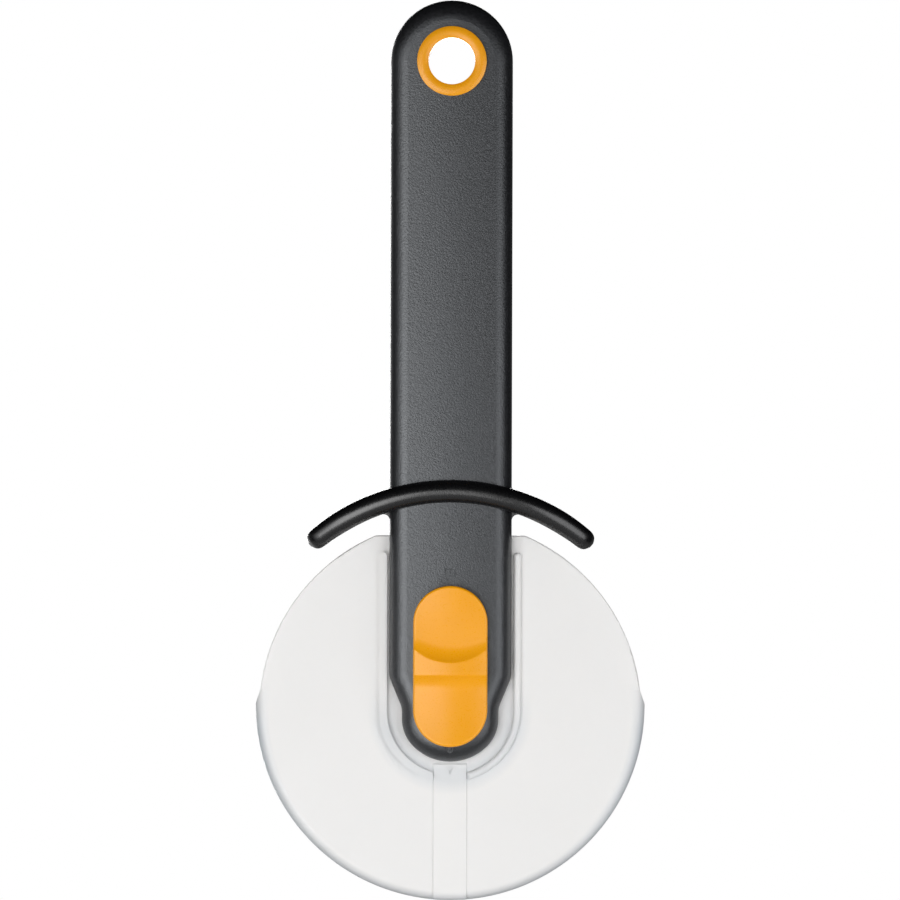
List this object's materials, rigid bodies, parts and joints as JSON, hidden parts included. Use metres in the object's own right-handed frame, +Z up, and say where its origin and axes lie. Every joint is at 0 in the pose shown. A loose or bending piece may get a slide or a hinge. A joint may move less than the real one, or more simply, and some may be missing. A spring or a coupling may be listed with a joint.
{
  "type": "pizza cutter wheel",
  "caption": "Hand-held pizza cutter: black fork handle with a finger guard and hang ring, a steel wheel on a lockable axle, an orange lock slider and a slide-on blade cover.",
  "frame": {"origin": "centre of the hang hole, on the middle plane between front and back", "axes": "+Z up along the handle, -Y out of the front with the lock button, +X to the right seen from the front"},
  "size_m": [0.0912, 0.0232, 0.2108],
  "materials": {
    "handle_plastic": "fine matte grain, moulded charcoal black",
    "guard_plastic": "smooth satin black",
    "accent_plastic": "satin orange, moulded",
    "cover_plastic": "milky translucent, satin",
    "hub_plastic": "smooth black",
    "bearing_plastic": "natural white, low friction",
    "blade_steel": "fine circular brushing, ground edge",
    "axle_steel": "turned, bright",
    "plate_steel": "stamped, plain",
    "spring_steel": "blued strip"
  },
  "bodies": {
    "handle": {"handle_front_shell": "handle_plastic", "handle_back_shell": "handle_plastic", "fork_liner_front": "handle_plastic", "fork_liner_back": "handle_plastic", "finger_guard": "guard_plastic", "hang_ring_front": "accent_plastic", "hang_ring_back": "accent_plastic", "lock_spring": "spring_steel", "axle_pin": "axle_steel", "axle_knob": "accent_plastic"},
    "lock": {"lock_button": "accent_plastic", "lock_plate": "plate_steel", "lock_screws": "plate_steel"},
    "wheel": {"cutting_wheel": "blade_steel", "wheel_hub_front": "hub_plastic", "wheel_hub_back": "hub_plastic", "hub_bush": "bearing_plastic", "hub_rivets": "axle_steel", "thrust_washers": "bearing_plastic"},
    "cover": {"cover_front_half": "cover_plastic", "cover_back_half": "cover_plastic"}
  },
  "joints": [
    {"name": "wheel_spin", "type": "hinge", "parent": "handle", "child": "wheel", "pos_m": [0, 0, -0.15225], "axis": [0, 1, 0], "continuous": true},
    {"name": "lock_slide", "type": "slide", "parent": "handle", "child": "lock", "axis": [0, 0, 1], "range_m": [0, 0.005]},
    {"name": "cover_slide", "type": "slide", "parent": "handle", "child": "cover", "axis": [0, 0, -1], "range_m": [0, 0.09]}
  ]
}
